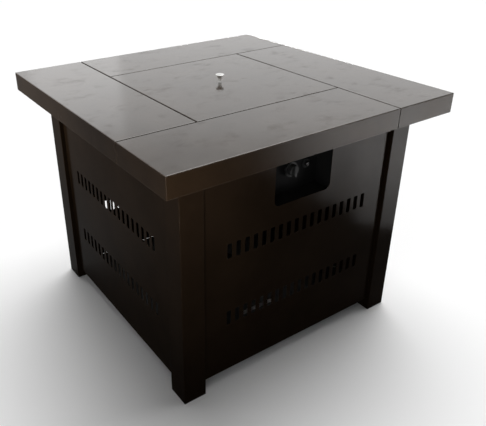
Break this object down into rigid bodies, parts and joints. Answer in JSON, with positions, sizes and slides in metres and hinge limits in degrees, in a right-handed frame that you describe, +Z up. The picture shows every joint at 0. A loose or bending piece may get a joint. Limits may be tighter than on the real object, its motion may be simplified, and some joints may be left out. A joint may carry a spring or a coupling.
{
  "type": "propane fire pit table",
  "caption": "Square patio fire pit table: pinwheel steel top, lift-off lid with pull knob, slotted cabinet on corner legs, control recess, tank door, burner bowl.",
  "frame": {"origin": "on the floor under the middle of the table, level with the undersides of the foot caps", "axes": "+X to the right seen from the control side, +Y from the control side towards the tank door, +Z up"},
  "size_m": [0.965, 0.965, 0.787],
  "materials": {
    "top_paint": "dark bronze powder coat, semi-gloss",
    "body_paint": "dark bronze powder coat, semi-gloss",
    "frame_paint": "black undercoat, satin",
    "recess_paint": "matt black paint",
    "knob_chrome": "polished",
    "zinc_steel": "zinc plated",
    "bowl_paint": "black heat-proof paint, matt",
    "stainless": "brushed, lightly heat tinted",
    "galvanised": "galvanised",
    "brass": "turned",
    "cast_alloy": "die cast",
    "black_plastic": "moulded, fine grain",
    "button_plastic": "moulded, gloss",
    "white_ceramic": "glazed",
    "lava": "rough, porous"
  },
  "bodies": {
    "frame": {"back_left_leg": "body_paint", "back_pan_rail": "frame_paint", "back_plank": "top_paint", "back_rail": "frame_paint", "back_right_leg": "body_paint", "back_sill": "frame_paint", "burner_feet": "stainless", "burner_locknut": "stainless", "burner_ring": "stainless", "control_box": "recess_paint", "door_magnet": "black_plastic", "fire_bowl": "bowl_paint", "foot_caps": "black_plastic", "frame_screws": "zinc_steel", "front_left_leg": "body_paint", "front_pan_rail": "frame_paint", "front_panel": "body_paint", "front_plank": "top_paint", "front_rail": "frame_paint", "front_right_leg": "body_paint", "gas_tube": "cast_alloy", "gas_valve": "cast_alloy", "heat_shield": "galvanised", "hinge_brackets": "frame_paint", "hinge_pins": "zinc_steel", "hinge_screws": "zinc_steel", "igniter_housing": "black_plastic", "igniter_nut": "black_plastic", "inlet_fitting": "brass", "lava_stones": "lava", "left_pan_rail": "frame_paint", "left_panel": "body_paint", "left_plank": "top_paint", "left_rail": "frame_paint", "orifice_fitting": "brass", "panel_bolts": "zinc_steel", "pilot_bracket": "stainless", "plank_bolts": "zinc_steel", "right_pan_rail": "frame_paint", "right_panel": "body_paint", "right_plank": "top_paint", "right_rail": "frame_paint", "shield_spacers": "galvanised", "spark_electrode": "white_ceramic", "tank_ring": "frame_paint", "tank_tray": "frame_paint", "thermocouple": "stainless", "valve_screws": "zinc_steel"},
    "lid": {"lid": "top_paint", "lid_knob": "knob_chrome", "lid_knob_screw": "zinc_steel"},
    "door": {"tank_door": "body_paint", "door_knob": "knob_chrome", "door_knob_screw": "zinc_steel", "door_strike": "zinc_steel"},
    "spindle": {"valve_spindle": "zinc_steel"},
    "control_knob": {"control_knob": "black_plastic"},
    "igniter_button": {"igniter_button": "button_plastic"},
    "air_shutter": {"air_shutter": "stainless"}
  },
  "joints": [
    {"name": "lid_lift", "type": "slide", "parent": "frame", "child": "lid", "axis": [0, 0, 1], "range_m": [0, 0.3]},
    {"name": "door_swing", "type": "hinge", "parent": "frame", "child": "door", "pos_m": [-0.326, 0.389, 0.37], "axis": [0, 0, 1], "range_deg": [0, 90]},
    {"name": "knob_turn", "type": "hinge", "parent": "frame", "child": "spindle", "pos_m": [0, -0.3335, 0.596], "axis": [0, -1, 0], "range_deg": [0, 180]},
    {"name": "knob_push", "type": "slide", "parent": "spindle", "child": "control_knob", "axis": [0, 1, 0], "range_m": [0, 0.004], "stiffness_N_per_m": 500},
    {"name": "igniter_press", "type": "slide", "parent": "frame", "child": "igniter_button", "axis": [0, 1, 0], "range_m": [0, 0.006], "stiffness_N_per_m": 600},
    {"name": "shutter_turn", "type": "hinge", "parent": "frame", "child": "air_shutter", "pos_m": [0, 0, 0.63], "axis": [0, 0, 1], "range_deg": [0, 90]}
  ]
}
